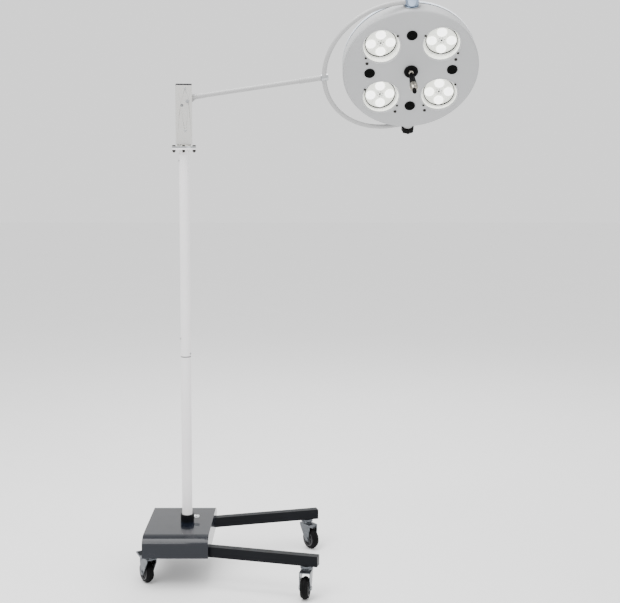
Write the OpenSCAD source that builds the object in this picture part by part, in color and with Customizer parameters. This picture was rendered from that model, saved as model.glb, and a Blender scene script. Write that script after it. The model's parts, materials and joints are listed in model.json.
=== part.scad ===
// Mobile surgical light: an LED head in a C-shaped yoke, carried by a spring-balanced arm on a castered column.
// Origin on the floor under the middle of the lamp. +Z is up, +X runs from the column towards the head.
// The front of the lamp, where the head shines, is -Y.

/* [Base] */
// Width of the base cover, along X
base_w = 220; // [200:1:260]
// Depth of the base cover, along Y
base_d = 368; // [350:1:420]
// Height of the cover's straight sides
base_side_h = 50; // [44:1:60]
// Height of the arched crown above the sides
base_arch_h = 20; // [12:1:30]
// Depth of the crown's flat part, along Y
base_flat_d = 280; // [240:1:300]
// Sheet thickness of the cover
cover_t = 2; // [1.5:0.5:3]

/* [Legs] */
// Angle between each leg and the X axis
leg_splay = 15; // [10:1:18]
// Width of the leg's tube
leg_w = 30; // [26:1:36]
// Height of the leg's tube
leg_h = 35; // [30:1:40]
// Length of leg outside the cover
leg_out = 378; // [330:1:420]

/* [Casters] */
// Height from the floor to the underside of the frame
caster_h = 105; // [100:1:115]
// Diameter of the wheel
wheel_d = 75; // [70:1:78]
// Width of the tread
tread_w = 28; // [24:1:29]
// Distance from the swivel axis to the axle
caster_trail = 24; // [20:1:28]

/* [Column] */
// Outer diameter of the column
column_d = 35; // [32:1:38]
// Height of the joint between the two column tubes
joint_z = 750; // [600:1:900]
// Height of the top of the upper tube's flange
flange_z = 1462; // [1440:1:1480]
// Diameter of the flange
flange_d = 82; // [78:1:90]

/* [Spring box] */
// Width of the box, along the arm
box_w = 53; // [50:1:58]
// Depth of the box, across the arm
box_d = 50; // [48:1:54]
// Height of the box, without its cap
box_h = 197; // [190:1:220]
// Height of the arm's pivot pin above the floor
shoulder_z = 1618; // [1610:1:1626]

/* [Arm and yoke] */
// Distance from the arm's pivot to the head's tilt axis, along the arm
head_reach = 780; // [700:1:820]
// Outer diameter of the arm's tube
arm_d = 16; // [15:1:18]
// Radius of the yoke's half circle, to the middle of its tube
yoke_r = 247.5; // [246:0.5:256]
// Distance from the yoke's hub to the head's tilt axis
yoke_reach = 304; // [296:1:320]
// Outer diameter of the yoke's tube
yoke_d = 16; // [14:1:17]

/* [Head] */
// Outer radius of the head at its front rim
head_r = 235; // [232:0.5:236]
// Radius of the circle through the middles of the cups
cup_ring_r = 144; // [140:1:148]
// Radius of a cup's bevelled rim
cup_r = 68.5; // [66:0.5:69.5]
// Radius of the circle through the face plugs
plug_ring_r = 142; // [138:1:148]
// Length of the handle, in front of the face
handle_len = 130; // [110:1:140]

/* [Stored pose] */
// Turn of the spring box about the column
pose_yaw = 9.2; // [0:0.1:20]
// Rise of the arm above level
pose_pitch = 8.85; // [0:0.05:12]
// Roll of the yoke about the arm
pose_roll = 36; // [0:0.5:60]
// Tilt of the head in the yoke
pose_tilt = -10.5; // [-30:0.5:0]

/* [Hidden] */
$fn = 64;

// Clearance of a running fit, and the gap between parts that pass each other
run = 0.05;
gap = 0.4;

// Where the column and the base stand
column_x = -418;
mid_y = 7;
base_x = column_x - 23;
base_right = base_x + base_w / 2;
side_top = caster_h + base_side_h;
crown_z = side_top + base_arch_h;
pan_t = 3;

// The arc that joins the crown to the straight side
arch_run = (base_d - base_flat_d) / 2;
arch_r = (arch_run * arch_run + base_arch_h * base_arch_h) / (2 * base_arch_h);
arch_sweep = asin(arch_run / arch_r);
arch_steps = 10;

// Legs
leg_root_y = 154.5;
leg_in = 92;
leg_wall = 2;
leg_len = leg_in + leg_out;

// Casters: place, direction of trail, as [x, y, angle]
head_caster_x = -4;
head_caster_y = leg_root_y + (head_caster_x - base_right) * tan(leg_splay);
column_caster_x = column_x - 114;
column_caster_y = 136;
FRONT_HEAD = [head_caster_x, mid_y - head_caster_y, -100];
REAR_HEAD = [head_caster_x, mid_y + head_caster_y, -54];
FRONT_COLUMN = [column_caster_x, mid_y - column_caster_y, 122];
REAR_COLUMN = [column_caster_x, mid_y + column_caster_y, 75];
CASTERS = [FRONT_HEAD, REAR_HEAD, FRONT_COLUMN, REAR_COLUMN];
wheel_r = wheel_d / 2;
core_r = wheel_r - 11;
kingpin_r = 5;
race_top = caster_h - 4;
crown_bottom = caster_h - 17;
fork_in = tread_w / 2 + 2;
fork_t = 2.5;
axle_r = 4;
pedal_pivot = [30, 80];

// Column
column_r = column_d / 2;
bore_r = column_r - 2.5;
collar_h = 25;
knob_z = crown_z + 15;
ring_h = 3;
bolt_ring_r = 34;
flange_t = 6;
washer_t = 6;
spindle_r = 8;

// Spring box, in its own frame: the column's axis is its Z axis
box_wall = 2.5;
box_z = flange_z + flange_t + washer_t + 0.3;
box_top = box_z + box_h;
pivot_x = 11;
pivot_r = 4;
tube_lift = 12;
rod_arm = 19;
rod_x = pivot_x - rod_arm;
rod_pin_z = shoulder_z - rod_arm * tan(pose_pitch);
rod_r = 4;
seat_top = shoulder_z - 42;
seat_t = 6;
spring_len = 49;
spring_bottom = seat_top - seat_t - spring_len;
spring_turns = 6;
spring_wire = 3.6;

// Arm and yoke
arm_r = arm_d / 2;
socket_r = 9;
socket_end = 64;
arm_end = head_reach - yoke_reach - 12.5;
end_sleeve = 74;
yoke_spindle_r = 6;
yoke_tube_r = yoke_d / 2;
yoke_straight = yoke_reach - yoke_r;
housing_from = yoke_r - yoke_tube_r - 1.6;
pin_r = 7;
// Where the head's two pins end along the tilt axis, and where the lower housing ends
top_pin_end = housing_from + 26;
bottom_pin_end = housing_from + 16;
bottom_housing_end = housing_from + 21;

// Head, in the face frame: Z is where the head shines, Y is the tilt axis
seam_z = -12;
seam_h = 5;
face_z = 42;
rim_fillet = 8;
shell_t = 2;
shell_corner = 30;
shell_sweep = 78;
cup_depth = 31.5;
cup_open_r = cup_r - 7;
cup_tilt = 5;
lens_ring_r = 34;
lens_r = 17.5;
plug_r = 18.5;
hub_r = 24.5;
grip_r = 14;
boss_r = 29;
rim_screw_ring = 67.2;
rim_screw_r = 0.8;

/* ---- frames of the moving parts in the stored pose ---- */

module at_base() {
    translate([base_x, mid_y, 0]) children();
}

module at_column() {
    translate([column_x, mid_y, 0]) children();
}

module at_box() {
    at_column() rotate([0, 0, pose_yaw]) children();
}

module at_arm() {
    at_box() translate([pivot_x, 0, shoulder_z]) rotate([0, -pose_pitch, 0]) children();
}

module at_yoke() {
    at_arm() translate([head_reach, 0, tube_lift]) rotate([pose_roll, 0, 0]) children();
}

module at_face() {
    at_yoke() rotate([0, 0, pose_tilt]) rotate([90, 0, 0]) children();
}

module at_cup(i) {
    at_face() rotate([0, 0, 45 + 90 * i]) translate([cup_ring_r, 0, face_z]) rotate([0, 0,
        -45 - 90 * i]) children();
}

module at_caster(place) {
    translate([place[0], place[1], 0]) rotate([0, 0, place[2]]) children();
}

/* ---- helpers ---- */

function arc(cx, cy, r, from, to, steps) =
    [for (i = [0:steps]) let (a = from + (to - from) * i / steps) [cx + r * cos(a), cy + r * sin(a)]];

// A cylinder along X from x0 to x1
module rod_along_x(x0, x1, r) {
    translate([x0, 0, 0]) rotate([0, 90, 0]) cylinder(h = x1 - x0, r = r);
}

// A cylinder along Y, centred
module rod_along_y(length, r) {
    rotate([90, 0, 0]) cylinder(h = length, r = r, center = true);
}

// A plate in the XZ plane, centred on Y, from its outline
module plate_xz(thickness, outline) {
    rotate([90, 0, 0]) linear_extrude(height = thickness, center = true) polygon(outline);
}

module tube(h, r_out, r_in) {
    difference() {
        cylinder(h = h, r = r_out);
        translate([0, 0, -1]) cylinder(h = h + 2, r = r_in);
    }
}

/* ---- base ---- */

// The cover's side view, moved inwards by a sheet thickness
module cover_outline(inset, bottom) {
    half = base_d / 2 - inset;
    flat = base_flat_d / 2;
    right = arc(flat, crown_z - arch_r, arch_r - inset, 90, 90 - arch_sweep, arch_steps);
    left = [for (i = [arch_steps:-1:0]) [-right[i][0], right[i][1]]];
    polygon(concat([[-half, bottom], [-half, side_top - inset]], left, right,
        [[half, side_top - inset], [half, bottom]]));
}

module cover_solid(inset, bottom, width) {
    rotate([90, 0, 90]) linear_extrude(height = width, center = true) cover_outline(inset, bottom);
}

module leg_block(side, grow) {
    translate([base_right, mid_y + side * leg_root_y, caster_h])
        rotate([0, 0, side * leg_splay])
            translate([-leg_in - grow, -leg_w / 2 - grow, -grow])
                cube([leg_len + 2 * grow, leg_w + 2 * grow, leg_h + 2 * grow]);
}

module base_cover() {
    color("#3f444d") difference() {
        at_base() cover_solid(0, caster_h, base_w);
        at_base() cover_solid(cover_t, caster_h - 1, base_w - 2 * cover_t);
        at_column() translate([0, 0, crown_z - 10]) cylinder(h = 20, r = column_r + 0.5);
        for (side = [-1, 1]) leg_block(side, 0.3);
        at_base() translate([-40, base_d / 2, 130]) cube([28, 20, 20.4], center = true);
        at_base() translate([0, base_d / 2, 130]) cube([22.4, 20, 15.4], center = true);
    }
}

module base_pan() {
    color("#2c2f34") difference() {
        union() {
            at_base() translate([0, 0, caster_h + pan_t / 2])
                cube([base_w - 2 * cover_t - 0.4, base_d - 2 * cover_t - 0.4, pan_t], center = true);
            at_column() translate([0, 0, caster_h]) cylinder(h = 48, r = column_r + 5);
        }
        at_column() translate([0, 0, caster_h + pan_t]) cylinder(h = 60, r = column_r + 0.02);
        for (side = [-1, 1]) leg_block(side, 0.2);
        for (place = CASTERS) at_caster(place) translate([0, 0, caster_h - 1]) cylinder(h = 10,
            r = kingpin_r + 0.1);
    }
}

module leg(side) {
    color("#3c3d42") difference() {
        leg_block(side, 0);
        leg_block(side, -leg_wall);
        for (place = CASTERS) at_caster(place) translate([0, 0, caster_h - 1]) cylinder(h = 6,
            r = kingpin_r + 0.1);
    }
}

module front_leg() { leg(-1); }

module rear_leg() { leg(1); }

// Swivel stems: a top race under the frame, a kingpin below it and a nut above
module caster_stems() {
    color("silver") for (place = CASTERS) at_caster(place) {
        translate([0, 0, crown_bottom - 3.5]) cylinder(h = 3, r = 8);
        translate([0, 0, crown_bottom - 1]) cylinder(h = 32, r = kingpin_r);
        translate([0, 0, race_top + gap]) cylinder(h = caster_h - race_top - gap, r = 20);
        translate([0, 0, caster_h + pan_t]) cylinder(h = 8, r = 8.5, $fn = 6);
    }
}

module ballast() {
    color("#4a4a4a") at_base() translate([-104, -108, caster_h + pan_t]) cube([92, 216, 40]);
}

module power_supply() {
    color("silver") at_base() translate([50, -60, caster_h + pan_t]) cube([52, 120, 38]);
}

module mains_inlet() {
    color("#1c1c1c") at_base() translate([-40, base_d / 2, 130]) difference() {
        union() {
            translate([-16, 0, -13]) cube([32, 3, 26]);
            translate([-13.5, -26, -10]) cube([27, 27, 20]);
        }
        translate([-11.5, -20, -8]) cube([23, 30, 16]);
    }
}

module power_rocker() {
    color("#141414") at_base() translate([0, base_d / 2, 130]) {
        rod_along_x(-10.5, 10.5, 6);
        translate([-10.5, -8, -3]) cube([21, 8, 6]);
    }
}

/* ---- casters ---- */

module fork(place, with_brake) {
    cheek = [[-19, caster_h - 14], [-19, crown_bottom - 6], [14, 30], [34, 30], [38, 72], [38,
        caster_h - 14]];
    color("#8f9296") at_caster(place) {
        difference() {
            union() {
                for (side = [-1, 1])
                    translate([0, side * (fork_in + fork_t / 2), 0]) plate_xz(fork_t, cheek);
                translate([-19, -fork_in - fork_t, crown_bottom]) cube([57, 2 * (fork_in + fork_t), 3]);
                translate([0, 0, crown_bottom]) cylinder(h = race_top - crown_bottom - 4, r = 17);
                translate([0, 0, race_top - 4]) cylinder(h = 4, r = 21);
            }
            translate([0, 0, 70]) cylinder(h = 60, r = kingpin_r + run);
            translate([caster_trail, 0, wheel_r]) rod_along_y(80, axle_r + 0.02);
            if (with_brake) translate([pedal_pivot[0], 0, pedal_pivot[1]]) rod_along_y(80, 3.02);
        }
        // axle with its head and nut
        translate([caster_trail, 0, wheel_r]) {
            rod_along_y(2 * (fork_in + fork_t + 3), axle_r);
            for (side = [-1, 1]) translate([0, side * (fork_in + fork_t + 1.75), 0]) rod_along_y(3, 6.5);
        }
        if (with_brake) translate([pedal_pivot[0], 0, pedal_pivot[1]]) rod_along_y(2 * (fork_in +
            fork_t) + 3, 3);
    }
}

module tyre(place) {
    h = tread_w / 2;
    color("#1b1b1c") at_caster(place) translate([caster_trail, 0, wheel_r]) rotate([90, 0, 0])
        rotate_extrude() polygon(concat(
            [[core_r, -h + 1], [wheel_r - 5, -h + 1]],
            arc(wheel_r - 9.4, 0, 9.4, -62, 62, 12),
            [[wheel_r - 5, h - 1], [core_r, h - 1]]));
}

module wheel_core(place) {
    color("#3a3a3c") at_caster(place) translate([caster_trail, 0, wheel_r]) rotate([90, 0, 0])
        rotate_extrude() polygon([
            [axle_r + run, -tread_w / 2], [11, -tread_w / 2], [12, -6], [core_r - 4, -6], [core_r - 3,
                1 - tread_w / 2],
            [core_r, 1 - tread_w / 2], [core_r, tread_w / 2 - 1], [core_r - 3, tread_w / 2 - 1],
                [core_r - 4, 6],
            [12, 6], [11, tread_w / 2], [axle_r + run, tread_w / 2]]);
}

module pedal(place) {
    color("#a4a6a8") at_caster(place) translate([pedal_pivot[0], 0, pedal_pivot[1]]) difference() {
        union() {
            rod_along_y(2 * fork_in - 2, 5);
            plate_xz(2 * fork_in - 2, [[0, 1.5], [2, 4.6], [18, 4.6], [48, 13], [49, 9.5], [19, 1.5]]);
            translate([14, 0, 0]) cube([12, 2 * fork_in - 6, 6], center = true);
        }
        rod_along_y(60, 3 + run);
    }
}

module fork_front_head() { fork(FRONT_HEAD, false); }

module tyre_front_head() { tyre(FRONT_HEAD); }

module wheel_front_head() { wheel_core(FRONT_HEAD); }

module fork_rear_head() { fork(REAR_HEAD, false); }

module tyre_rear_head() { tyre(REAR_HEAD); }

module wheel_rear_head() { wheel_core(REAR_HEAD); }

module fork_front_column() { fork(FRONT_COLUMN, true); }

module tyre_front_column() { tyre(FRONT_COLUMN); }

module wheel_front_column() { wheel_core(FRONT_COLUMN); }

module pedal_front_column() { pedal(FRONT_COLUMN); }

module fork_rear_column() { fork(REAR_COLUMN, true); }

module tyre_rear_column() { tyre(REAR_COLUMN); }

module wheel_rear_column() { wheel_core(REAR_COLUMN); }

module pedal_rear_column() { pedal(REAR_COLUMN); }

/* ---- column ---- */

// Small screws in the column's tubes, as [height, direction]
COLUMN_SCREWS = [[814, 205], [762, -25], [1420, 205]];

module column_screw_holes(r) {
    at_column() for (s = COLUMN_SCREWS) translate([0, 0, s[0]]) rotate([0, 0, s[1]]) rod_along_x(6, 30, r);
}

module column_collar() {
    color("#2a2b30") at_column() translate([0, 0, crown_z]) difference() {
        cylinder(h = collar_h, r = column_r + 5.5);
        translate([0, 0, -1]) cylinder(h = collar_h + 2, r = column_r + 0.1);
        translate([0, 0, knob_z - crown_z]) rod_along_x(0, 40, 3 + run);
    }
}

module column_knob() {
    color("#d8dadc") at_column() translate([0, 0, knob_z]) {
        rod_along_x(column_r + gap, column_r + 12, 3);
        rod_along_x(column_r + 6.2, column_r + 8.2, 6.5);
        rod_along_x(column_r + 8.2, column_r + 25, 5);
    }
}

module lower_column() {
    color("#dcdcdd") difference() {
        at_column() translate([0, 0, caster_h + pan_t]) tube(joint_z - caster_h - pan_t, column_r, bore_r);
    }
}

// Inner sleeve that joins the tubes, with a dark ring between them
module column_sleeve() {
    color("#3b3b3d") difference() {
        at_column() {
            translate([0, 0, joint_z - 100]) tube(200, bore_r - 0.02, bore_r - 3);
            translate([0, 0, joint_z]) tube(ring_h, column_r + 0.2, bore_r - 1);
        }
        column_screw_holes(2.02);
    }
}

module upper_column() {
    color("#dcdcdd") difference() {
        at_column() {
            translate([0, 0, joint_z + ring_h]) tube(flange_z - joint_z - ring_h, column_r, bore_r);
            translate([0, 0, flange_z - flange_t]) tube(flange_t, flange_d / 2, bore_r);
        }
        at_column() bolt_circle() translate([0, 0, flange_z - 20]) cylinder(h = 40, r = 3.1);
        column_screw_holes(2.02);
    }
}

module bolt_circle() {
    for (i = [0:3]) rotate([0, 0, 90 * i + 4]) translate([bolt_ring_r, 0, 0]) children();
}

module column_screws() {
    color("#5a5a5c") at_column() for (s = COLUMN_SCREWS) translate([0, 0, s[0]]) rotate([0, 0, s[1]]) {
        rod_along_x(bore_r - 3, column_r, 2);
        rod_along_x(column_r, column_r + 2, 3.4);
    }
}

// The turning point of the spring box: a plug in the upper tube, a flange, a journal and a retaining disc
module spindle() {
    color("#b9bbbd") difference() {
        at_column() {
            translate([0, 0, flange_z - 61]) cylinder(h = 61, r = bore_r - 0.02);
            translate([0, 0, flange_z]) cylinder(h = flange_t, r = flange_d / 2);
            translate([0, 0, flange_z + 5]) cylinder(h = 26, r = spindle_r);
            translate([0, 0, flange_z + 30.5]) cylinder(h = 3, r = 11);
        }
        at_column() translate([0, 0, flange_z - 70]) cylinder(h = 120, r = 4);
        at_column() bolt_circle() translate([0, 0, flange_z - 20]) cylinder(h = 40, r = 3.1);
        column_screw_holes(2.02);
    }
}

module flange_bolts() {
    color("#3a3a3a") at_column() bolt_circle() {
        translate([0, 0, flange_z - 15]) cylinder(h = 15 + flange_t, r = 3);
        translate([0, 0, flange_z - flange_t - 6]) cylinder(h = 6, r = 5.8, $fn = 6);
        translate([0, 0, flange_z + flange_t]) cylinder(h = 4, r = 5.8, $fn = 6);
    }
}

module thrust_washer() {
    color("white") at_column() translate([0, 0, flange_z + flange_t]) tube(washer_t, 24, spindle_r + 0.3);
}

/* ---- spring box ---- */

module box_block(z, h, inset) {
    translate([-box_w / 2 + inset, -box_d / 2 + inset, z]) cube([box_w - 2 * inset, box_d - 2 * inset, h]);
}

module box_shell() {
    color("#d2d1cf") at_box() difference() {
        box_block(box_z, box_h, 0);
        box_block(box_z - 1, box_h + 2, box_wall);
        // slot that the arm swings in
        translate([box_w / 2 - box_wall - 1, -11.5, shoulder_z - 16]) cube([box_wall + 2, 23, 54]);
        translate([pivot_x, 0, shoulder_z]) rod_along_y(box_d + 2, pivot_r + 0.02);
        translate([rod_x + 0.5, -box_d / 2, shoulder_z - 14]) rod_along_y(10, 5);
        for (z = BOX_SCREWS_Z) translate([3.5, -box_d / 2, z]) rod_along_y(10, 2.02);
    }
}

BOX_SCREWS_Z = [1520, box_top - 11];

module box_cap() {
    color("#55555a") at_box() difference() {
        union() {
            box_block(box_top, 5, 0);
            box_block(box_top - 18, 18, box_wall + 0.05);
        }
        box_block(box_top - 19, 17, 2 * box_wall);
        translate([3.5, -box_d / 2, BOX_SCREWS_Z[1]]) rod_along_y(14, 2.02);
    }
}

module bearing_block() {
    color("#8d8d90") at_box() difference() {
        box_block(box_z + 1.5, 15, box_wall + 0.05);
        translate([0, 0, box_z]) cylinder(h = 30, r = spindle_r + run);
    }
}

module pivot_pin() {
    color("#8a8a8c") at_box() translate([pivot_x, 0, shoulder_z]) {
        rod_along_y(box_d + 1, pivot_r);
        for (side = [-1, 1]) translate([0, side * (box_d / 2 + 1), 0]) rod_along_y(2, 5.5);
    }
}

// Fixed plate that the spring pushes up against
module spring_seat() {
    color("#77777a") at_box() difference() {
        box_block(seat_top - seat_t, seat_t, box_wall + 0.05);
        translate([rod_x, 0, seat_top - 20]) cylinder(h = 40, r = rod_r + run);
    }
}

module box_screws() {
    color("#77777a") at_box() for (z = BOX_SCREWS_Z) translate([3.5, 0, z]) rotate([0, 0, -90]) {
        rod_along_x(box_d / 2 - box_wall - 2.5, box_d / 2, 2);
        rod_along_x(box_d / 2, box_d / 2 + 1.8, 3.6);
    }
}

/* ---- arm: its frame has the pivot pin as Y axis and X along the tube ---- */

module arm_lever() {
    slot_from = rod_arm - 0.4;
    slot_to = rod_arm / cos(30) + 0.4;
    slot_r = 3.8;
    color("#c4c4c3") at_arm() difference() {
        union() {
            plate_xz(12, [[-22, -7.5], [8, -9], [30, 2], [30, 20], [4, 20], [-6, 8], [-22, 7.5]]);
            translate([-22, 0, 0]) rod_along_y(12, 7.5);
            translate([0, 0, tube_lift]) rod_along_x(4, socket_end, socket_r);
        }
        rod_along_y(40, pivot_r + run);
        for (x = [slot_from, slot_to]) translate([-x, 0, 0]) rod_along_y(40, slot_r);
        translate([-(slot_from + slot_to) / 2, 0, 0]) cube([slot_to - slot_from, 40, 2 * slot_r],
            center = true);
        translate([0, 0, tube_lift]) rod_along_x(8, socket_end + 1, arm_r + 0.02);
    }
}

module arm_tube() {
    color("#c9c9c8") at_arm() translate([0, 0, tube_lift]) difference() {
        union() {
            rod_along_x(8, arm_end, arm_r);
            rod_along_x(arm_end - end_sleeve, arm_end, arm_r + 1.5);
        }
        rod_along_x(7, arm_end + 1, yoke_spindle_r + run);
    }
}

/* ---- spring rod: hangs from a pin in the lever's slot ---- */

module rod_clevis() {
    color("#6f7174") at_box() translate([rod_x, 0, rod_pin_z]) {
        difference() {
            translate([-7, -10.5, -23]) cube([14, 21, 31]);
            translate([-8, -6.5, -15]) cube([16, 13, 40]);
            rod_along_y(40, 3.02);
            translate([0, 0, -30]) cylinder(h = 20, r = rod_r + 0.02);
        }
        rod_along_y(23, 3);
    }
}

module spring_rod() {
    color("#a9abad") at_box() translate([rod_x, 0, 0]) {
        translate([0, 0, spring_bottom - 13]) cylinder(h = rod_pin_z - 17 - spring_bottom + 13, r = rod_r);
        translate([0, 0, spring_bottom - 3]) cylinder(h = 3, r = 10.5);
        translate([0, 0, spring_bottom - 10]) cylinder(h = 7.5, r = 6.5, $fn = 6);
    }
}

// Die spring of flat wire: a half ring twisted as it rises
module balance_spring() {
    color("#5b6a86") at_box() translate([rod_x, 0, spring_bottom + 0.1])
        linear_extrude(height = spring_len - 0.2, twist = -360 * spring_turns, slices = 12 * spring_turns)
            difference() {
                circle(r = rod_r + 2 + spring_wire, $fn = 14);
                circle(r = rod_r + 2, $fn = 14);
                translate([-20, -40]) square([40, 40]);
            }
}

/* ---- yoke: its frame has the head's tilt axis as Z axis and X along the arm ---- */

module yoke_arc(r) {
    translate([-yoke_straight, 0, 0]) rotate([90, 0, 0]) rotate([0, 0, 90])
        rotate_extrude(angle = 180) translate([yoke_r, 0]) circle(r = r);
}

module yoke_tube() {
    color("#c6c6c5") at_yoke() difference() {
        union() {
            yoke_arc(yoke_tube_r);
            translate([0, 0, yoke_r]) rod_along_x(-yoke_straight, -11.5, yoke_tube_r);
            translate([0, 0, -yoke_r]) rod_along_x(-yoke_straight, -9.5, yoke_tube_r);
        }
        rod_along_x(-yoke_reach - 20, -yoke_reach + 20, yoke_spindle_r + 0.02);
    }
}

// Spindle that turns in the arm's end, with a hub clamped round the yoke's tube
module yoke_spindle() {
    color("#cfd0d2") at_yoke() {
        rod_along_x(-yoke_reach - 80, -yoke_reach + 12, yoke_spindle_r);
        difference() {
            rod_along_x(-yoke_reach - 12, -yoke_reach + 13, 12);
            yoke_arc(yoke_tube_r + 0.02);
        }
    }
}

module top_pivot_housing() {
    dome = 14;
    color("#cdd3db") at_yoke() difference() {
        rotate_extrude() polygon(concat(
            [[0, housing_from], [22, housing_from], [24, housing_from + 2]],
            arc(24 - dome, housing_from + 22, dome, 0, 90, 8),
            [[0, housing_from + 22 + dome]]));
        translate([0, 0, housing_from - 1]) cylinder(h = top_pin_end + gap - housing_from + 1,
            r = pin_r + run);
        translate([0, 0, yoke_r]) rod_along_x(-30, -11, yoke_tube_r + 0.02);
    }
}

module bottom_pivot_housing() {
    color("#bcbcbc") at_yoke() mirror([0, 0, 1]) difference() {
        translate([0, 0, housing_from]) cylinder(h = bottom_housing_end - housing_from, r = 17);
        translate([0, 0, housing_from - 1])
            cylinder(h = bottom_pin_end + gap - housing_from + 1, r = pin_r + run);
        translate([0, 0, housing_from]) cylinder(h = 40, r = 4 + run);
        translate([0, 0, yoke_r]) rod_along_x(-30, -9, yoke_tube_r + 0.02);
    }
}

// Lobed clamp knob with a stud that presses on the lower pivot
module pivot_knob() {
    color("#19191a") at_yoke() mirror([0, 0, 1]) translate([0, 0, bottom_housing_end + gap]) {
        stud = bottom_housing_end - bottom_pin_end;
        translate([0, 0, -stud]) cylinder(h = stud + 2, r = 4);
        difference() {
            cylinder(h = 22, r = 23);
            for (i = [0:6]) rotate([0, 0, i * 360 / 7]) translate([26.5, 0, -1]) cylinder(h = 24, r = 6);
        }
    }
}

/* ---- head ---- */

module head_pivots() {
    color("#a7a9ab") at_face() difference() {
        union() {
            rotate([-90, 0, 0]) translate([0, 0, 224]) cylinder(h = top_pin_end - 224, r = pin_r);
            rotate([90, 0, 0]) translate([0, 0, 224]) cylinder(h = bottom_pin_end - 224, r = pin_r);
            difference() {
                union() {
                    rotate([-90, 0, 0]) translate([0, 0, 225]) cylinder(h = housing_from - gap - 225,
                        r = boss_r);
                    rotate([90, 0, 0]) translate([0, 0, 225]) cylinder(h = housing_from - gap - 225,
                        r = 17);
                }
                translate([0, 0, -60]) cylinder(h = 120, r = head_r + 0.05, $fn = 128);
            }
            for (a = [90, -90]) rotate([a, 0, 0]) translate([0, 0, 223]) cylinder(h = 5.5, r = 11, $fn = 6);
        }
    }
}

module front_cover() {
    inner = rim_fillet - shell_t;
    fillet_r = head_r - rim_fillet;
    fillet_z = face_z - rim_fillet;
    color("#c2c2c2") at_face() difference() {
        rotate_extrude($fn = 128) polygon(concat(
            [[head_r - 2.5, seam_z], [head_r, fillet_z]],
            arc(fillet_r, fillet_z, rim_fillet, 0, 90, 6),
            [[0, face_z], [0, face_z - shell_t]],
            arc(fillet_r, fillet_z, inner, 90, 0, 6),
            [[head_r - 2.5 - shell_t, seam_z]]));
        for (a = [0, 180]) rotate([a - 90, 0, 0]) cylinder(h = head_r + 10, r = pin_r + 0.02);
        translate([0, 0, face_z - 10]) cylinder(h = 20, r = 20.1);
        for (i = [0:3]) rotate([0, 0, 90 * i]) translate([plug_ring_r, 0, face_z - 10]) cylinder(h = 20,
            r = 16.1);
        for (i = [0:3]) rotate([0, 0, 45 + 90 * i]) translate([cup_ring_r, 0,
            face_z - 10]) cylinder(h = 20, r = 66);
        cup_screw_places() translate([0, 0, face_z - 10]) cylinder(h = 20, r = 1.52);
        for (i = [0:3]) rotate([0, 0, 45 + 90 * i]) translate([cup_ring_r, 0, face_z - 10])
            rotate([0, 0, -45 - 90 * i]) rim_screw_places(i) cylinder(h = 20, r = rim_screw_r + 0.02);
    }
}

module back_shell() {
    corner_x = head_r - 3 - shell_corner;
    corner_z = seam_z - seam_h - 4;
    dome_r = (corner_x + shell_corner * cos(shell_sweep)) / cos(shell_sweep);
    dome_z = corner_z - shell_corner * sin(shell_sweep) + dome_r * sin(shell_sweep);
    color("#e2e5e8") at_face() rotate_extrude($fn = 128) polygon(concat(
        [[head_r - 2.5, seam_z - seam_h]],
        arc(corner_x, corner_z, shell_corner, 0, -shell_sweep, 8),
        arc(0, dome_z, dome_r, -shell_sweep, -90, 8),
        arc(0, dome_z, dome_r - shell_t, -90, -shell_sweep, 8),
        arc(corner_x, corner_z, shell_corner - shell_t, -shell_sweep, 0, 8),
        [[head_r - 2.5 - shell_t, seam_z - seam_h]]));
}

module seam_gasket() {
    color("#3d3d40") at_face() translate([0, 0, seam_z - seam_h]) tube(seam_h, head_r - 3.5, head_r - 8);
}

module reflectors() {
    color("#e6e8e2") for (i = [0:3]) at_cup(i) difference() {
        rotate_extrude() polygon([
            [0, -cup_depth], [cup_open_r - 5.5, -cup_depth], [cup_open_r, -5], [66.5, 1.5], [67.5, 1.5],
            [cup_r, 0.6], [cup_r, 0], [65.9, 0], [65.9, -3], [cup_open_r + 2, -6.5],
            [cup_open_r - 4, -cup_depth - 1.5], [0, -cup_depth - 1.5]]);
        rim_screw_places(i) translate([0, 0, -5]) cylinder(h = 10, r = rim_screw_r + 0.02);
    }
}

// The board leans a little so that the four beams meet
module at_board(i) {
    at_cup(i) rotate([0, 0, 45 + 90 * i]) translate([2.3, 0, -23]) rotate([0, -cup_tilt, 0])
        rotate([0, 0, -45 - 90 * i]) children();
}

module led_boards() {
    color("#e4e6e0") for (i = [0:3]) at_board(i) {
        translate([0, 0, -1.6]) cylinder(h = 1.6, r = lens_ring_r + lens_r);
        translate([0, 0, -3.5]) cylinder(h = 2, r = 14);
    }
}

module led_lenses() {
    color("white") for (i = [0:3]) at_board(i) for (j = [0:3])
        rotate([0, 0, 90 * j]) translate([lens_ring_r - 0.3, 0, 0]) rotate_extrude() polygon(concat(
            [[0, 0], [lens_r - 0.6, 0], [lens_r - 0.6, 3]], arc(0, -10, 21.4, 38, 90, 8)));
}

function cup_screw_angles(i) = (i % 2 == 0) ? [147, 327] : [37, 217];

module rim_screw_places(i) {
    for (a = cup_screw_angles(i)) rotate([0, 0, a]) translate([rim_screw_ring, 0, 0]) children();
}

module cup_screw_places() {
    for (i = [0:3]) rotate([0, 0, 45 + 90 * i]) translate([cup_ring_r, 0, 0]) rotate([0, 0, -45 - 90 * i])
        for (a = [i % 2 == 0 ? -51 : -128]) rotate([0, 0, a]) translate([80, 0, 0]) children();
}

module cup_screws() {
    color("#2b2926") {
        at_face() cup_screw_places() {
            translate([0, 0, face_z - 6]) cylinder(h = 6, r = 1.5);
            translate([0, 0, face_z]) cylinder(h = 2.5, r = 4.5);
        }
        for (i = [0:3]) at_cup(i) rim_screw_places(i) {
            translate([0, 0, -3]) cylinder(h = 5, r = rim_screw_r);
            translate([0, 0, 1.5]) cylinder(h = 1.6, r = 3);
        }
    }
}

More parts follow.
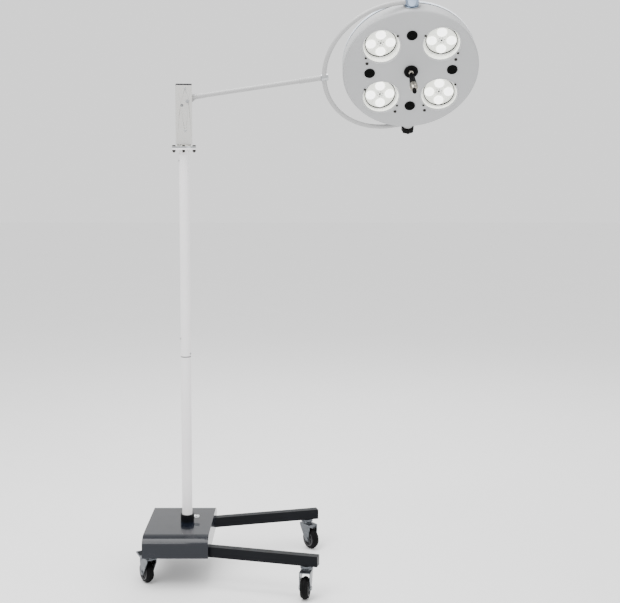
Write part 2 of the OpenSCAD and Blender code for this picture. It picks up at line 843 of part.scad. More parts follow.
module face_plugs() {
    color("#191a18") for (i = [0:3]) at_face() rotate([0, 0, 90 * i]) translate([plug_ring_r, 0, face_z]) {
        translate([0, 0, -5]) cylinder(h = 5, r = 16);
        rotate_extrude() polygon([[0, 0], [plug_r, 0], [plug_r, 2], [plug_r - 2, 4], [0, 4]]);
    }
}

// Black hub in the middle of the face that holds the handle
module face_hub() {
    color("#202221") at_face() difference() {
        union() {
            translate([0, 0, face_z - 12]) cylinder(h = 12, r = 20);
            translate([0, 0, face_z]) rotate_extrude() polygon([
                [0, 0], [hub_r, 0], [hub_r, 5], [hub_r - 3, 8], [0, 8]]);
        }
        translate([0, 0, face_z - 14]) cylinder(h = 40, r = 6 + run);
    }
}

/* ---- handle ---- */

// Bulb-shaped grip: thin neck, a swelling waist with a straight band, and a socket for the tip
module handle_grip() {
    top = face_z + 8 + gap;
    end = face_z + handle_len - 18;
    color("#868279") at_face() rotate_extrude() polygon([
        [0, face_z - 10], [6, face_z - 10], [6, top], [8.5, top], [8.5, top + 2], [5, top + 4], [5,
            top + 11],
        [7, top + 13], [8.5, top + 22], [12, end - 34], [grip_r, end - 26], [grip_r, end - 10], [12,
            end - 5],
        [8.5, end], [5, end], [5, end - 6], [0, end - 6]]);
}

module handle_tip() {
    from = face_z + handle_len - 18;
    color("#1a1a1a") at_face() rotate_extrude() polygon(concat(
        [[0, from - 6], [5, from - 6], [5, from], [7.5, from], [7.5, from + 12]],
        arc(1.5, from + 12, 6, 0, 90, 6), [[0, from + 18]]));
}

base_cover();
base_pan();
front_leg();
rear_leg();
caster_stems();
ballast();
power_supply();
mains_inlet();
power_rocker();
column_collar();
column_knob();
lower_column();
column_sleeve();
upper_column();
column_screws();
spindle();
flange_bolts();
thrust_washer();
fork_front_head();
tyre_front_head();
wheel_front_head();
fork_rear_head();
tyre_rear_head();
wheel_rear_head();
fork_front_column();
tyre_front_column();
wheel_front_column();
pedal_front_column();
fork_rear_column();
tyre_rear_column();
wheel_rear_column();
pedal_rear_column();
box_shell();
box_cap();
bearing_block();
pivot_pin();
spring_seat();
box_screws();
arm_lever();
arm_tube();
rod_clevis();
spring_rod();
balance_spring();
yoke_tube();
yoke_spindle();
top_pivot_housing();
bottom_pivot_housing();
pivot_knob();
head_pivots();
front_cover();
back_shell();
seam_gasket();
reflectors();
led_boards();
led_lenses();
face_plugs();
face_hub();
cup_screws();
handle_grip();
handle_tip();
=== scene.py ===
"""Looks of the mobile surgical light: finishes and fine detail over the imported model.

Sizes in the pieces are in millimetres, in frames taken from the model's joints.
"""
import json
import math
import bmesh
import bpy
from mathutils import Matrix, Vector


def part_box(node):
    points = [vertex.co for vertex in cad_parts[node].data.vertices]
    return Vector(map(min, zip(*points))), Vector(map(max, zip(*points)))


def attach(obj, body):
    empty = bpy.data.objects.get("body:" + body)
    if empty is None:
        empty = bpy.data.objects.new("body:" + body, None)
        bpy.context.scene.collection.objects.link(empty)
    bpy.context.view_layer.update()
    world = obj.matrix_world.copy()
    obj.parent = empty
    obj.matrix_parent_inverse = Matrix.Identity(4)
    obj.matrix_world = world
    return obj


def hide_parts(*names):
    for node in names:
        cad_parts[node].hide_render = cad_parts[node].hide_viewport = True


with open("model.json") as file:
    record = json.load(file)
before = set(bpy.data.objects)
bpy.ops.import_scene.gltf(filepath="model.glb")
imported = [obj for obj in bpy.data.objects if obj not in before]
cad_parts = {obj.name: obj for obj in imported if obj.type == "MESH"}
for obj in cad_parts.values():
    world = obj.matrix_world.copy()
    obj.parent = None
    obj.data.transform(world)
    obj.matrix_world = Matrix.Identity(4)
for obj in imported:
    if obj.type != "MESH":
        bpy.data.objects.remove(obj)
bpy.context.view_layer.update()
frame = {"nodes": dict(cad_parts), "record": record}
scene = bpy.context.scene
JOINTS = {j["name"]: j for j in frame["record"]["behaviour"]["joints"]}
MM = 0.001


# ---------------------------------------------------------------- frames

def placed(origin, z, x):
    """Frame at origin whose Z axis is z and whose X axis leans towards x."""
    z = Vector(z).normalized()
    y = z.cross(Vector(x)).normalized()
    m = Matrix((y.cross(z), y, z)).transposed().to_4x4()
    m.translation = Vector(origin)
    return m


def moved(m, x=0.0, y=0.0, z=0.0):
    """m shifted along its own axes, in millimetres."""
    return m @ Matrix.Translation((x * MM, y * MM, z * MM))


def turned(m, degrees, axis="Z"):
    return m @ Matrix.Rotation(math.radians(degrees), 4, axis)


def joint_at(name):
    return Vector(JOINTS[name]["pos_m"])


def joint_axis(name):
    return Vector(JOINTS[name]["axis"])


def middle(node):
    low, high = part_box(node)
    return (low + high) / 2


UP = Vector((0, 0, 1))
HEAD = joint_at("head_tilt")
TILT = joint_axis("head_tilt")
SHINE = joint_axis("handle_turn")
FACE = placed(HEAD, SHINE, TILT.cross(SHINE))
COLUMN = placed((middle("lower_column").x, middle("lower_column").y, 0), UP, (1, 0, 0))
ARM_PIN = joint_axis("arm_pitch")
BOX = placed(COLUMN.translation, UP, UP.cross(ARM_PIN))

# Places on the head: heights above its centre and radii about the centre of the face, cup or board
FACE_Z = 42
CUP_RING = 144
PLUG_RING = 142
LENS_RING = 33.7
OUTER_SCREW_RING = 80
RIM_SCREW_RING = 67.2
BOARD_OFFSET = 2.3
BOARD_DEPTH = 23
BOARD_LEAN = 5
# Tyre: the tread's cross-section is an arc about this radius
TREAD_MIDDLE = 28.1
TREAD_ARC = 9.4
# Spring box: height of its lower screw, and where its screws stand from its middle
LOW_SCREW_Z = 1520
SCREW_X = 3.5
BOX_FACE_Y = -25
# Clamp knob: distance of its upper face from the head's centre, and its stud's length
KNOB_TOP = 259.3
KNOB_STUD = 5.0
CASTERS = ("front_head", "rear_head", "front_column", "rear_column")
BRAKED = ("front_column", "rear_column")


def cup_frames():
    """The four cups, each with the face's own directions."""
    for i in range(4):
        a = 45 + 90 * i
        yield i, turned(moved(turned(FACE, a), CUP_RING, 0, FACE_Z), -a)


def board_frames():
    """The four LED boards, which lean inwards so that their beams meet."""
    for i, cup in cup_frames():
        a = 45 + 90 * i
        yield turned(turned(moved(turned(cup, a), BOARD_OFFSET, 0, -BOARD_DEPTH), -BOARD_LEAN, "Y"), -a)


def lens_frames():
    for board in board_frames():
        for j in range(4):
            yield moved(turned(board, 90 * j), LENS_RING)


# ---------------------------------------------------------------- finishes

def linear(hex_colour):
    """Linear colour from an sRGB hex string."""
    out = []
    for k in (0, 2, 4):
        c = int(hex_colour[k:k + 2], 16) / 255
        out.append(c / 12.92 if c <= 0.04045 else ((c + 0.055) / 1.055) ** 2.4)
    return tuple(out) + (1.0,)


def finish(name, colour, rough, metallic=0.0, vary=0.05, cloud=9.0, grain=900.0, bump=0.04,
           stretch=(1, 1, 1), coat=0.0, glow=0.0, flakes=0.0, specular=0.5):
    """Node material: clouded or flaked colour, uneven gloss between two values, and a fine grain."""
    mat = bpy.data.materials.new(name)
    mat.use_nodes = True
    nodes, links = mat.node_tree.nodes, mat.node_tree.links
    shader = nodes["Principled BSDF"]
    coords = nodes.new("ShaderNodeTexCoord")
    mapping = nodes.new("ShaderNodeMapping")
    mapping.inputs["Scale"].default_value = stretch
    links.new(coords.outputs["Object"], mapping.inputs["Vector"])

    def noise(scale, detail):
        n = nodes.new("ShaderNodeTexNoise")
        n.inputs["Scale"].default_value = scale
        n.inputs["Detail"].default_value = detail
        links.new(mapping.outputs["Vector"], n.inputs["Vector"])
        return n

    base = linear(colour)
    ramp = nodes.new("ShaderNodeValToRGB")
    ramp.color_ramp.elements[0].position = 0.3
    ramp.color_ramp.elements[1].position = 0.7
    ramp.color_ramp.elements[0].color = tuple(c * (1 - vary) for c in base[:3]) + (1.0,)
    ramp.color_ramp.elements[1].color = tuple(min(1.0, c * (1 + vary)) for c in base[:3]) + (1.0,)
    if flakes:
        cells = nodes.new("ShaderNodeTexVoronoi")
        cells.inputs["Scale"].default_value = flakes
        links.new(mapping.outputs["Vector"], cells.inputs["Vector"])
        links.new(cells.outputs["Distance"], ramp.inputs["Fac"])
    else:
        links.new(noise(cloud, 5).outputs["Fac"], ramp.inputs["Fac"])
    links.new(ramp.outputs["Color"], shader.inputs["Base Color"])

    gloss = nodes.new("ShaderNodeMapRange")
    gloss.inputs["From Min"].default_value = 0.3
    gloss.inputs["From Max"].default_value = 0.7
    gloss.inputs["To Min"].default_value = rough[0]
    gloss.inputs["To Max"].default_value = rough[1]
    links.new(noise(cloud * 4, 6).outputs["Fac"], gloss.inputs["Value"])
    links.new(gloss.outputs["Result"], shader.inputs["Roughness"])

    relief = nodes.new("ShaderNodeBump")
    relief.inputs["Strength"].default_value = bump
    relief.inputs["Distance"].default_value = 0.0004
    links.new(noise(grain, 3).outputs["Fac"], relief.inputs["Height"])
    links.new(relief.outputs["Normal"], shader.inputs["Normal"])

    shader.inputs["Metallic"].default_value = metallic
    shader.inputs["Specular IOR Level"].default_value = specular
    shader.inputs["Coat Weight"].default_value = coat
    shader.inputs["Coat Roughness"].default_value = 0.04
    # Emission: lamp light for the lenses, painted glow for the cups and boards
    if glow:
        shader.inputs["Emission Color"].default_value = (1.0, 1.0, 0.97, 1.0)
        shader.inputs["Emission Strength"].default_value = glow
    return mat


ENAMEL = finish("blue_grey_gloss_enamel", "10141c", (0.16, 0.26), vary=0.14, coat=0.30, grain=260, bump=0.03,
                specular=0.15)
DARK_ENAMEL = finish("dark_satin_enamel", "0a0c10", (0.34, 0.48), vary=0.16, coat=0.02, grain=700, bump=0.10,
                     specular=0.10)
COLUMN_PAINT = finish("column_powder_coat", "e6e4e5", (0.28, 0.40), vary=0.02, grain=850, bump=0.09)
BOX_PAINT = finish("box_powder_coat", "b6b5b2", (0.40, 0.52), vary=0.02, grain=900, bump=0.12)
ARM_PAINT = finish("arm_powder_coat", "a8a8a8", (0.30, 0.42), vary=0.02, grain=900, bump=0.10)
FACE_PAINT = finish("face_powder_coat", "a6a7a8", (0.40, 0.52), vary=0.02, grain=950, bump=0.12)
SHELL_PAINT = finish("shell_gloss_paint", "c2ccda", (0.16, 0.28), vary=0.02, coat=0.5, grain=420, bump=0.04)
# Zinc plate darkened in its colour: painted shade, as the casters stand in shade under the base
ZINC_PAINTED_SHADE = finish("zinc_plate_painted_shade", "5e6165", (0.22, 0.38), metallic=1.0, vary=0.20, flakes=260, grain=1200,
              bump=0.08)
STEEL = finish("turned_steel", "b4b6b8", (0.20, 0.34), metallic=1.0, vary=0.08, stretch=(1, 1, 6), bump=0.07)
BLACK_STEEL = finish("black_oxide_steel", "2a2825", (0.34, 0.50), metallic=0.8, vary=0.14, bump=0.12)
DARK_STEEL = finish("dark_ring_steel", "46464a", (0.30, 0.44), metallic=0.9, vary=0.10, stretch=(1, 1, 5))
IRON = finish("cast_iron", "4a4a4b", (0.55, 0.75), metallic=0.6, vary=0.18, grain=320, bump=0.5)
SHEET = finish("sheet_aluminium", "a6a8aa", (0.30, 0.46), metallic=1.0, vary=0.06, stretch=(1, 9, 1))
CHROME = finish("bright_chrome", "d8dadc", (0.05, 0.13), metallic=1.0, vary=0.03, cloud=24, bump=0.02)
# Chrome with a blue tint in its colour: a painted reflection of the sky, not blued metal
CHROME_PAINTED_SKY_REFLECTION = finish("chrome_painted_blue_reflection", "a9bbd3", (0.06, 0.15), metallic=1.0, vary=0.08, cloud=30, bump=0.02)
GRIP_METAL = finish("polished_bronze_silver", "98938a", (0.12, 0.24), metallic=1.0, vary=0.08, cloud=30)
SPRING_STEEL = finish("oiled_spring_steel", "3c3d40", (0.28, 0.42), metallic=0.9, vary=0.12, bump=0.10)
BLACK_PLASTIC = finish("black_moulded_plastic", "090909", (0.38, 0.54), vary=0.12, grain=1300, bump=0.22,
                       specular=0.06)
GLOSS_BLACK = finish("black_gloss_plastic", "151516", (0.14, 0.26), vary=0.08, coat=0.3, bump=0.04)
CAP_PLASTIC = finish("dark_cap_plastic", "222226", (0.30, 0.44), vary=0.08, grain=1100, bump=0.14,
                     specular=0.25)
RUBBER = finish("black_rubber", "080908", (0.62, 0.80), vary=0.16, grain=1500, bump=0.32, specular=0.06)
TYRE_RUBBER = finish("tyre_rubber", "0b0b0c", (0.50, 0.72), vary=0.20, cloud=40, grain=1100, bump=0.30,
                     specular=0.08)
CORE_PLASTIC = finish("grey_wheel_plastic", "3a3a3c", (0.42, 0.58), vary=0.08, grain=1200, bump=0.18)
NYLON = finish("natural_nylon", "e2e0d8", (0.40, 0.54), vary=0.04, grain=1000, bump=0.12)
# Metallised cup with emission: painted light, standing for the LEDs' light on the reflector walls
MIRROR_WHITE_PAINTED_GLOW = finish("metallised_cup_painted_glow", "eef0e6", (0.16, 0.30), vary=0.03, cloud=30, coat=0.4, glow=0.75)
# White solder mask with emission: painted light from the LEDs falling on the boards
BOARD_WHITE_PAINTED_GLOW = finish("white_solder_mask_painted_glow", "e6e8de", (0.34, 0.46), vary=0.05, cloud=60, bump=0.08, glow=0.45)
LIT_LENS = finish("lit_clear_lens", "ffffff", (0.06, 0.14), vary=0.03, cloud=60, bump=0.05, glow=3.0)

NODE_FINISH = {
    "base_cover": ENAMEL, "base_pan": DARK_ENAMEL, "front_leg": DARK_ENAMEL, "rear_leg": DARK_ENAMEL,
    "caster_stems": ZINC_PAINTED_SHADE, "ballast": IRON, "power_supply": SHEET, "mains_inlet": BLACK_PLASTIC,
    "power_rocker": GLOSS_BLACK, "column_collar": DARK_ENAMEL, "lower_column": COLUMN_PAINT,
    "column_sleeve": DARK_STEEL, "upper_column": COLUMN_PAINT, "column_screws": STEEL, "spindle": STEEL,
    "flange_bolts": BLACK_STEEL, "thrust_washer": NYLON, "box_shell": BOX_PAINT, "box_cap": CAP_PLASTIC,
    "bearing_block": IRON, "pivot_pin": STEEL, "spring_seat": STEEL, "arm_lever": ARM_PAINT,
    "arm_tube": ARM_PAINT, "rod_clevis": STEEL, "spring_rod": STEEL, "balance_spring": SPRING_STEEL,
    "yoke_tube": ARM_PAINT, "yoke_spindle": STEEL, "top_pivot_housing": CHROME_PAINTED_SKY_REFLECTION,
    "bottom_pivot_housing": ARM_PAINT, "head_pivots": STEEL, "front_cover": FACE_PAINT,
    "back_shell": SHELL_PAINT, "seam_gasket": RUBBER, "led_boards": BOARD_WHITE_PAINTED_GLOW,
}
EDGE_WIDTHS = {"box_cap": 1.2, "box_shell": 0.8, "front_leg": 1.5, "rear_leg": 1.5, "flange_bolts": 0.4}


def paint(node, material):
    for slot in frame["nodes"][node].material_slots:
        slot.material = material


def soften(node, width):
    """Rounds a sharp-edged node's edges with modifiers, which leave its own mesh alone."""
    obj = frame["nodes"][node]
    weld = obj.modifiers.new("joined", "WELD")
    weld.merge_threshold = 0.00001
    bevel = obj.modifiers.new("edges", "BEVEL")
    bevel.width = width * MM
    bevel.segments = 3
    bevel.limit_method = "ANGLE"
    bevel.angle_limit = math.radians(50)
    bevel.harden_normals = True


# ---------------------------------------------------------------- shapes

def soft(points, radius, steps=4):
    """A profile with its corners rounded, by up to radius."""
    out = [points[0]]
    for before, corner, after in zip(points, points[1:], points[2:]):
        p, c, n = Vector(before), Vector(corner), Vector(after)
        a = c + (p - c) * min(0.45, radius / max((p - c).length, 1e-6))
        b = c + (n - c) * min(0.45, radius / max((n - c).length, 1e-6))
        for k in range(steps + 1):
            t = k / steps
            out.append(tuple(a * (1 - t) ** 2 + c * 2 * t * (1 - t) + b * t * t))
    out.append(points[-1])
    return out


def lathe(bm, profile, m, segments=64, flutes=None, ring=False):
    """Turns a profile of (radius, height) about m's Z axis, closed end to end if ring is set.

    flutes = (count, depth, from, to) grooves the rings whose radius lies between from and to.
    """
    rings = []
    for r, z in profile:
        if r < 1e-6:
            rings.append([bm.verts.new(m @ Vector((0, 0, z * MM)))])
            continue
        row = []
        for k in range(segments):
            a = 2 * math.pi * k / segments
            rr = r
            if flutes and flutes[2] <= r <= flutes[3]:
                rr = r - flutes[1] * (0.5 - 0.5 * math.cos(flutes[0] * a))
            row.append(bm.verts.new(m @ Vector((rr * math.cos(a) * MM, rr * math.sin(a) * MM, z * MM))))
        rings.append(row)
    pairs = list(zip(rings, rings[1:]))
    if ring:
        pairs.append((rings[-1], rings[0]))
    for low, high in pairs:
        if len(low) == 1 and len(high) == 1:
            continue
        for k in range(segments):
            n = (k + 1) % segments
            if len(low) == 1:
                bm.faces.new((low[0], high[n], high[k]))
            elif len(high) == 1:
                bm.faces.new((low[k], low[n], high[0]))
            else:
                bm.faces.new((low[k], low[n], high[n], high[k]))


def block(bm, m, x, y, z, edge=0.4):
    """A block with rounded edges, centred on m."""
    made = bmesh.ops.create_cube(bm, size=1.0, matrix=m @ Matrix.Diagonal((x * MM, y * MM, z * MM, 1)))
    edges = {e for v in made["verts"] for e in v.link_edges}
    bmesh.ops.bevel(bm, geom=list(edges), offset=edge * MM, segments=2, affect="EDGES", profile=0.5)


def piece(name, bm, material, body, nodes=(), sharp=38):
    """Turns the mesh under construction into an object that rides on a body."""
    bmesh.ops.recalc_face_normals(bm, faces=bm.faces)
    mesh = bpy.data.meshes.new(name)
    bm.to_mesh(mesh)
    bm.free()
    mesh.shade_smooth()
    mesh.set_sharp_from_angle(angle=math.radians(sharp))
    mesh.materials.append(material)
    obj = bpy.data.objects.new(name, mesh)
    scene.collection.objects.link(obj)
    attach(obj, body)
    if nodes:
        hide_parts(*nodes)


def screw_head(bm, m, r, h, shank=0.0, shank_r=0.0):
    """Button head with a six-lobed socket; the shank, if any, goes below z = 0."""
    hole = 0.46 * r
    top = soft([(0, 0.35 * h), (hole, 0.35 * h), (hole, h), (0.72 * r, h), (r, 0.45 * h), (r, 0)],
               0.14 * r, 3)
    below = [(shank_r, 0), (shank_r, -shank), (0, -shank)] if shank else [(0, 0)]
    lathe(bm, top + below, m, 48, (6, 0.22 * hole, hole * 0.8, hole * 1.02))


# ---------------------------------------------------------------- casters

def trail(name):
    """Level direction from a caster's swivel axis to its axle."""
    axle = joint_at(name + "_roll")
    swivel = joint_at(name + "_swivel")
    return Vector((axle.x - swivel.x, axle.y - swivel.y, 0))


def caster_frame(name):
    """Origin on the axle, Z along the axle, X away from the swivel axis."""
    return placed(joint_at(name + "_roll"), joint_axis(name + "_roll"), trail(name))


def tread_arc(heights):
    return [(TREAD_MIDDLE + math.sqrt(TREAD_ARC ** 2 - z * z), z) for z in heights]


def build_casters():
    crown = tread_arc((-8.2, -7, -5.6, -4.4, -3.6))
    groove = [(36.0, -3.2), (36.0, -2.2)]
    middle_band = tread_arc((-1.8, 0, 1.8))
    half = [(26.5, -13), (30.8, -13), (32.1, -12.3), (32.4, -10.4)] + crown + groove
    tread = half + middle_band + [(r, -z) for r, z in reversed(half)]
    hub = soft([(4.05, -14), (10.4, -14), (11.4, -6), (22.4, -6), (23.6, -13), (26.45, -13), (26.45, 13),
                (23.6, 13), (22.4, 6), (11.4, 6), (10.4, 14), (4.05, 14)], 0.9, 3)
    for name in CASTERS:
        m = caster_frame(name)
        bm = bmesh.new()
        lathe(bm, tread, m, 96, ring=True)
        piece("tyre_tread_" + name, bm, TYRE_RUBBER, "wheel_" + name, ["tyre_" + name])
        bm = bmesh.new()
        lathe(bm, hub, m, 72, ring=True)
        for k in range(6):
            for side in (-1, 1):
                block(bm, moved(turned(m, 60 * k), 16.9, 0, side * 7.6), 11.6, 2.2, 4.6, 0.5)
        piece("wheel_ribs_" + name, bm, CORE_PLASTIC, "wheel_" + name, ["wheel_" + name])
        bm = bmesh.new()
        for side in (-1, 1):
            nut = [(4.1, 18.7), (7.5, 18.7), (7.5, 21.0), (6.7, 21.7), (4.1, 21.7)]
            lathe(bm, [(r, side * z) for r, z in nut], m, 6, ring=True)
            end = [(0, 21.6), (3.9, 21.6), (3.9, 18), (0, 18)]
            lathe(bm, [(r, side * z) for r, z in end], m, 32)
        piece("axle_nuts_" + name, bm, STEEL, "caster_" + name, sharp=25)
    for name in BRAKED:
        m = placed(joint_at(name + "_brake"), UP, trail(name))
        bm = bmesh.new()
        for k in range(5):
            x = 24 + 5 * k
            # the pedal's upper face rises away from the pivot
            block(bm, moved(m, x, 0, 4.6 + (x - 18) * 0.28 + 0.5), 1.8, 24, 1.6, 0.4)
        piece("pedal_ribs_" + name, bm, RUBBER, "pedal_" + name)


# ---------------------------------------------------------------- base and column

def build_base():
    low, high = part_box("mains_inlet")
    bm = bmesh.new()
    spot = placed(((low.x + high.x) / 2, high.y, (low.z + high.z) / 2), UP, (1, 0, 0))
    for x, z in ((-6, -1.5), (6, -1.5), (0, 2.2)):
        block(bm, moved(spot, x, -13, z), 2.0, 15, 4.0, 0.35)
    piece("inlet_blades", bm, STEEL, "base")

    out = placed((COLUMN.translation.x, COLUMN.translation.y, joint_at("column_knob_turn").z),
                 joint_axis("column_knob_turn"), UP)
    bm = bmesh.new()
    shape = [(0, 17.9), (3, 17.9), (3, 23.7), (6.5, 23.7), (6.5, 25.7), (4.9, 26.4), (5, 27.4), (5, 39.5),
             (4.1, 42.0), (0, 42.5)]
    lathe(bm, soft(shape, 0.6, 3), out, 112, (28, 0.45, 4.75, 5.05))
    piece("knurled_column_knob", bm, CHROME, "column_knob", ["column_knob"])


def build_box_screws():
    bm = bmesh.new()
    cap_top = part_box("box_cap")[1].z / MM - 5
    for z in (LOW_SCREW_Z, cap_top - 11):
        m = turned(moved(BOX, SCREW_X, BOX_FACE_Y, z), 90, "X")
        screw_head(bm, m, 3.6, 1.8, 5.0, 2.0)
    piece("box_socket_screws", bm, STEEL, "spring_box", ["box_screws"])


# ---------------------------------------------------------------- head

def build_plugs_and_hub():
    ribs = []
    for k in range(6):
        r = 15.6 - 2.3 * k
        ribs += [(r, 4.0), (r - 0.8, 4.0), (r - 1.2, 3.2), (r - 1.9, 3.2)]
    shape = [(0, -5), (16, -5), (16, 0), (18.5, 0), (18.5, 2.0), (17.0, 4.0)] + ribs + [(0, 3.2)]
    bm = bmesh.new()
    for i in range(4):
        m = moved(turned(FACE, 90 * i), PLUG_RING, 0, FACE_Z)
        lathe(bm, soft(shape, 0.35, 2), m, 72)
    piece("ribbed_face_plugs", bm, RUBBER, "head", ["face_plugs"])

    ribs = []
    for k in range(4):
        r = 20.2 - 2.8 * k
        ribs += [(r, 8.0), (r - 1.0, 8.0), (r - 1.5, 7.1), (r - 2.3, 7.1)]
    shape = [(6.1, -12), (20, -12), (20, 0), (24.5, 0), (24.5, 5), (21.6, 8)] + ribs
    shape += [(8.6, 7.4), (6.1, 7.4)]
    bm = bmesh.new()
    lathe(bm, soft(shape, 0.4, 2), moved(FACE, 0, 0, FACE_Z), 144, (36, 0.7, 24.0, 24.6), ring=True)
    piece("ribbed_face_hub", bm, BLACK_PLASTIC, "head", ["face_hub"])


def build_cups():
    # the wall opens out from the floor to the mouth in small steps
    wall = []
    for k in range(7):
        t = k / 6
        wall.append((56.2 + 5.3 * t ** 0.6, -30.6 + 25.2 * t))
        wall.append((56.2 + 5.3 * t ** 0.6 + 0.3, -30.2 + 25.2 * t))
    floor = [(0, -31.4), (54.8, -31.4)]
    rim = [(61.9, -4.8), (66.4, 1.3), (67.6, 1.45), (68.45, 0.6), (68.45, 0), (65.9, 0)]
    back = [(65.9, -3), (63.5, -6.5), (57.5, -33), (0, -33)]
    shape = floor + wall[:-1] + rim + back
    bm = bmesh.new()
    for _, cup in cup_frames():
        lathe(bm, soft(shape, 0.35, 2), cup, 128)
    # the reflector cups take the finish with painted glow
    piece("stepped_reflectors", bm, MIRROR_WHITE_PAINTED_GLOW, "head", ["reflectors"])

    bezel = [(61.7, -4.4), (66.4, 1.42), (67.6, 1.5), (68.5, 0.6), (68.5, 0.1), (67.4, 0.9), (66.2, 0.7)]
    bm = bmesh.new()
    for _, cup in cup_frames():
        lathe(bm, soft(bezel, 0.3, 2), cup, 128, ring=True)
    piece("cup_bezels", bm, FACE_PAINT, "head")

    # a dark rubber ring around each board, between it and the wall: painted shade, standing for the shadow
    # in the gap under the board's edge
    shade_ring = [(50.6, -1.7), (52.8, -1.4), (53.4, 3.6), (54.3, 3.4), (54.5, -3.0), (53.6, -4.4), (50.6, -4.4)]
    bm = bmesh.new()
    for board in board_frames():
        lathe(bm, soft(shade_ring, 0.4, 2), board, 96, ring=True)
    piece("painted_shade_board_rings", bm, RUBBER, "head")

    # a domed lens with fine rings, down to its flange
    dome = []
    for k in range(15):
        a = math.radians(40 + 50 * k / 14)
        r = 21.35 if k % 2 == 0 else 21.0
        dome.append((r * math.cos(a) if k < 14 else 0.0, -10 + r * math.sin(a)))
    bm = bmesh.new()
    for m in lens_frames():
        lathe(bm, [(0, 0.1), (16.4, 0.1), (16.7, 0.5), (16.7, 3.0)] + dome, m, 56)
    piece("ridged_led_lenses", bm, LIT_LENS, "head", ["led_lenses"], sharp=60)

    bm = bmesh.new()
    for board in board_frames():
        screw_head(bm, board, 3.4, 2.0)
        for k in range(6):
            block(bm, moved(turned(board, 60 * k + 15), 9.6, 0, 0.6), 3.2, 1.8, 1.2, 0.2)
    piece("board_components", bm, CAP_PLASTIC, "head")


def build_head_screws():
    """One large screw outside each cup and two small ones on its rim, mirrored from cup to cup."""
    bm = bmesh.new()
    for i, cup in cup_frames():
        outer = -51 if i % 2 == 0 else -128
        screw_head(bm, moved(turned(cup, outer), OUTER_SCREW_RING, 0, 0), 5.5, 2.8, 6.0, 1.5)
        for a in ((147, 327) if i % 2 == 0 else (37, 217)):
            screw_head(bm, moved(turned(cup, a), RIM_SCREW_RING, 0, 1.5), 4.2, 2.0, 4.5, 0.8)
    piece("head_socket_screws", bm, BLACK_STEEL, "head", ["cup_screws"])


def build_handle():
    """Turned grip with a ribbed sleeve over its neck and a rounded tip, from top to end and beyond."""
    top = FACE_Z + 8.4
    end = FACE_Z + 112
    neck = [(0, 32), (6, 32), (6, top), (8.5, top), (8.5, top + 2), (5, top + 4), (5, top + 11),
            (7, top + 13), (8.5, top + 22)]
    band = [(12, end - 34), (14, end - 26), (14, end - 10), (12, end - 5), (8.5, end)]
    socket = [(5, end), (5, end - 6), (0, end - 6)]
    bm = bmesh.new()
    lathe(bm, soft(neck + band + socket, 3.0, 6), FACE, 96)
    piece("polished_grip", bm, GRIP_METAL, "handle", ["handle_grip"])

    sleeve = [(7.3, top + 13), (8.9, top + 22), (12.35, end - 35), (12.9, end - 33), (11.4, end - 33),
              (8.2, top + 22), (6.8, top + 14)]
    bm = bmesh.new()
    lathe(bm, soft(sleeve, 0.6, 3), FACE, 96, (24, 0.3, 8.7, 12.4), ring=True)
    piece("ribbed_grip_sleeve", bm, BLACK_PLASTIC, "handle")

    tip = [(0, end - 6), (4.95, end - 6), (4.95, end), (7.5, end), (7.5, end + 3), (6.9, end + 3.6),
           (6.9, end + 4.6), (7.5, end + 5.2), (7.5, end + 12), (5.6, end + 16.4), (2.4, end + 18),
           (0, end + 18)]
    bm = bmesh.new()
    lathe(bm, soft(tip, 1.0, 4), FACE, 72)
    piece("rounded_handle_tip", bm, BLACK_PLASTIC, "handle", ["handle_tip"])


def build_pivot_knob():
    """Seven-lobed clamp knob under the head, on the same line as the tilt axis."""
    down = placed(HEAD, joint_axis("pivot_knob_turn"), SHINE)
    stud = [(0, KNOB_TOP - KNOB_STUD), (4, KNOB_TOP - KNOB_STUD), (4, KNOB_TOP)]
    knob = [(14, 0), (21, 0.6), (23, 3), (23, 19), (21, 21.6), (13, 22), (12, 21), (0, 21)]
    shape = stud + [(r, KNOB_TOP + z) for r, z in knob]
    bm = bmesh.new()
    lathe(bm, soft(shape, 1.2, 4), down, 168, (7, 2.4, 18, 23.1))
    piece("lobed_pivot_knob", bm, BLACK_PLASTIC, "pivot_knob", ["pivot_knob"])


# ---------------------------------------------------------------- studio

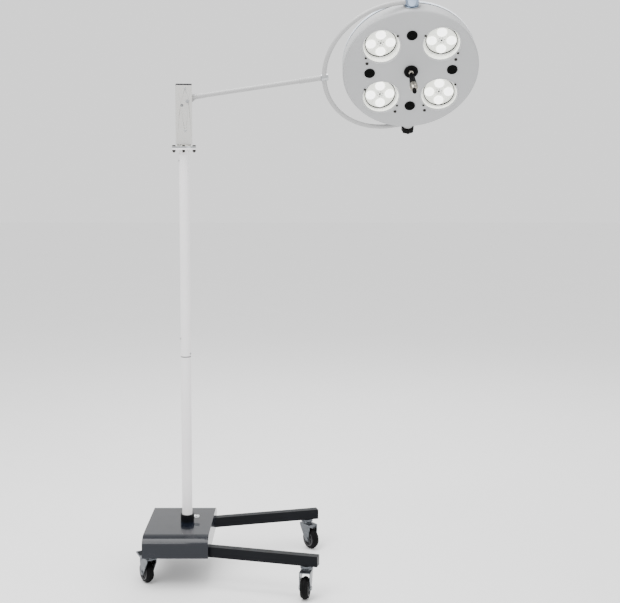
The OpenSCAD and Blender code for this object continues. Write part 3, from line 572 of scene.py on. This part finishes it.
# Soft lights, aimed at a point above the floor's centre: name, place in metres, watts, width in metres
LIGHTS = (
    ("key", (-1.8, -2.2, 3.8), 110, 2.2),
    ("fill", (2.8, -2.4, 2.2), 30, 2.6),
    ("back", (0.6, 2.8, 3.2), 50, 2.4),
    ("overhead", (-0.5, -0.1, 3.6), 70, 1.6),
)
LIT_POINT = Vector((0, 0, 1.0))
SKY_STRENGTH = 1.35


def place_camera():
    camera = bpy.data.cameras.new("camera")
    camera.lens = 67.7
    camera.sensor_width = 36
    camera.shift_y = -0.08
    obj = bpy.data.objects.new("camera", camera)
    obj.location = (0.007, -3.942, 1.449)
    obj.rotation_euler = (math.radians(85.1), 0, 0)
    scene.collection.objects.link(obj)
    scene.camera = obj


def light_studio():
    world = bpy.data.worlds.new("studio")
    world.use_nodes = True
    background = world.node_tree.nodes["Background"]
    background.inputs["Color"].default_value = (1, 1, 1, 1)
    background.inputs["Strength"].default_value = SKY_STRENGTH
    scene.world = world
    for name, where, watts, size in LIGHTS:
        light = bpy.data.lights.new(name, "AREA")
        light.energy = watts
        light.size = size
        lamp = bpy.data.objects.new(name, light)
        lamp.location = where
        lamp.rotation_euler = (LIT_POINT - Vector(where)).to_track_quat("-Z", "Y").to_euler()
        scene.collection.objects.link(lamp)


def lay_floor():
    bm = bmesh.new()
    bmesh.ops.create_grid(bm, x_segments=8, y_segments=8, size=20)
    mesh = bpy.data.meshes.new("floor")
    bm.to_mesh(mesh)
    bm.free()
    mesh.materials.append(finish("pale_floor", "fafafa", (0.6, 0.75), vary=0.005, cloud=2, bump=0.01))
    floor = bpy.data.objects.new("floor", mesh)
    scene.collection.objects.link(floor)


def finish_nodes():
    """Gives the CAD pieces that stay their materials, and rounds the sharp-edged ones."""
    for node, material in NODE_FINISH.items():
        paint(node, material)
    for caster in CASTERS:
        paint("fork_" + caster, ZINC_PAINTED_SHADE)
        soften("fork_" + caster, 0.5)
    for caster in BRAKED:
        paint("pedal_" + caster, ZINC_PAINTED_SHADE)
        soften("pedal_" + caster, 0.5)
    for node, width in EDGE_WIDTHS.items():
        soften(node, width)


place_camera()
light_studio()
lay_floor()
finish_nodes()
build_casters()
build_base()
build_box_screws()
build_plugs_and_hub()
build_cups()
build_head_screws()
build_handle()
build_pivot_knob()
